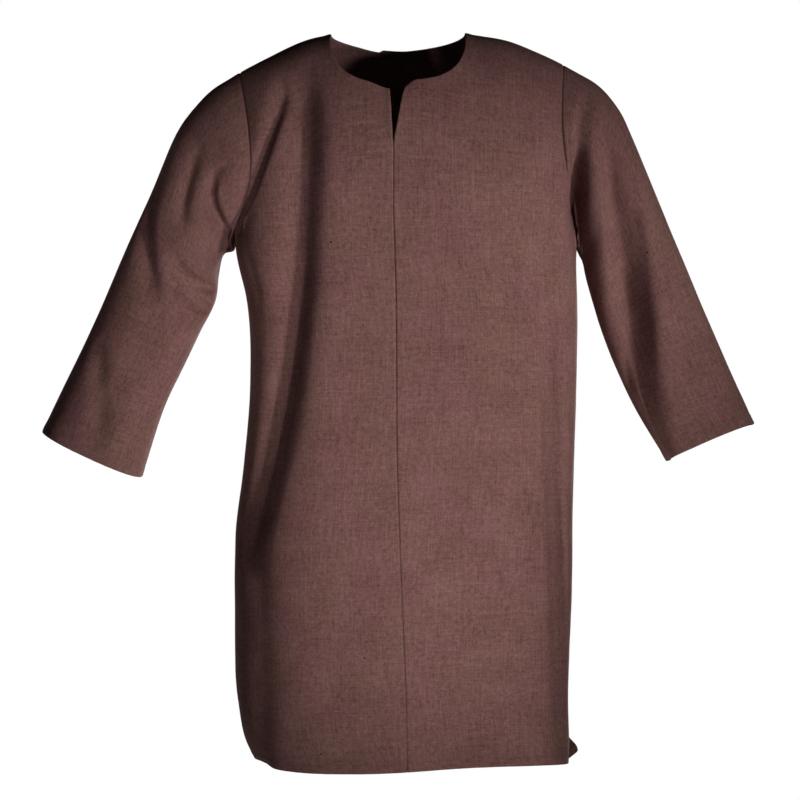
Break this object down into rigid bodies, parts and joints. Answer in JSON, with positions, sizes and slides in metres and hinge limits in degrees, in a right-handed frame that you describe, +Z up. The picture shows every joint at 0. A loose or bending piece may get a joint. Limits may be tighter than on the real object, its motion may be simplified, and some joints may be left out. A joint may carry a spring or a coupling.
{
  "type": "tunic",
  "caption": "Coarse brown linen tunic, hollow as if worn, with long set-in sleeves, a round neck with a front slit, a centre front seam and a plain hem.",
  "frame": {"origin": "between the neck ends of the two shoulder seams, in the middle of the wearer's shoulders that carry the cloth", "axes": "+Z is up, -Y is the front and +X is the wearer's left"},
  "size_m": [0.9784, 0.2488, 1.0087],
  "materials": {
    "linen": "coarse plain weave, matt reddish brown",
    "facing_linen": "the same cloth inside the back of the neck, matt"
  },
  "bodies": {
    "root": {"front_left": "linen", "front_right": "linen", "back": "linen", "sleeve_left": "linen", "sleeve_right": "linen", "neck_facing": "facing_linen"}
  },
  "joints": []
}
